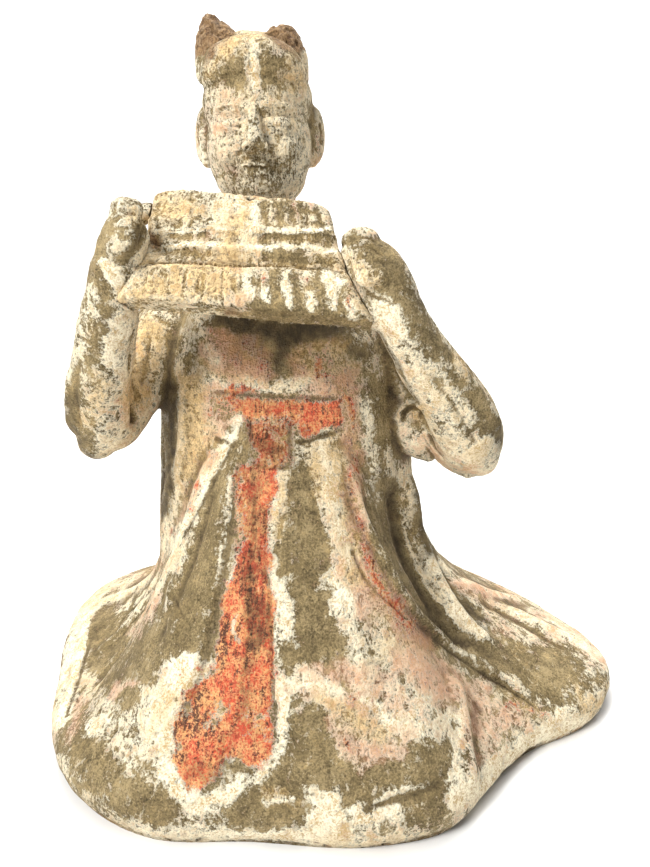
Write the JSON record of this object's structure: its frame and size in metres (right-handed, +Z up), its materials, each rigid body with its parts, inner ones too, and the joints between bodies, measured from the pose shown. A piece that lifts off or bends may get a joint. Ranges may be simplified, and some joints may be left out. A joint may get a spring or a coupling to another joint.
{
  "type": "terracotta musician figure",
  "caption": "Kneeling terracotta musician in a wide robe, raising a raft of panpipes to the lips, with worn paint and a broken headdress.",
  "frame": {"origin": "on the flat underside, on the plane the figure kneels on, below the body", "axes": "+Z up, the figure faces -Y, its own left hand is towards +X"},
  "size_m": [0.343, 0.2723, 0.3688],
  "materials": {
    "painted_terracotta": "matt grey-olive fired clay with worn white slip, red and ochre paint and earth stains",
    "panpipes_clay": "matt fired clay under worn cream slip with painted pipe ends"
  },
  "bodies": {
    "root": {"figure": "painted_terracotta", "panpipes": "panpipes_clay"}
  },
  "joints": []
}
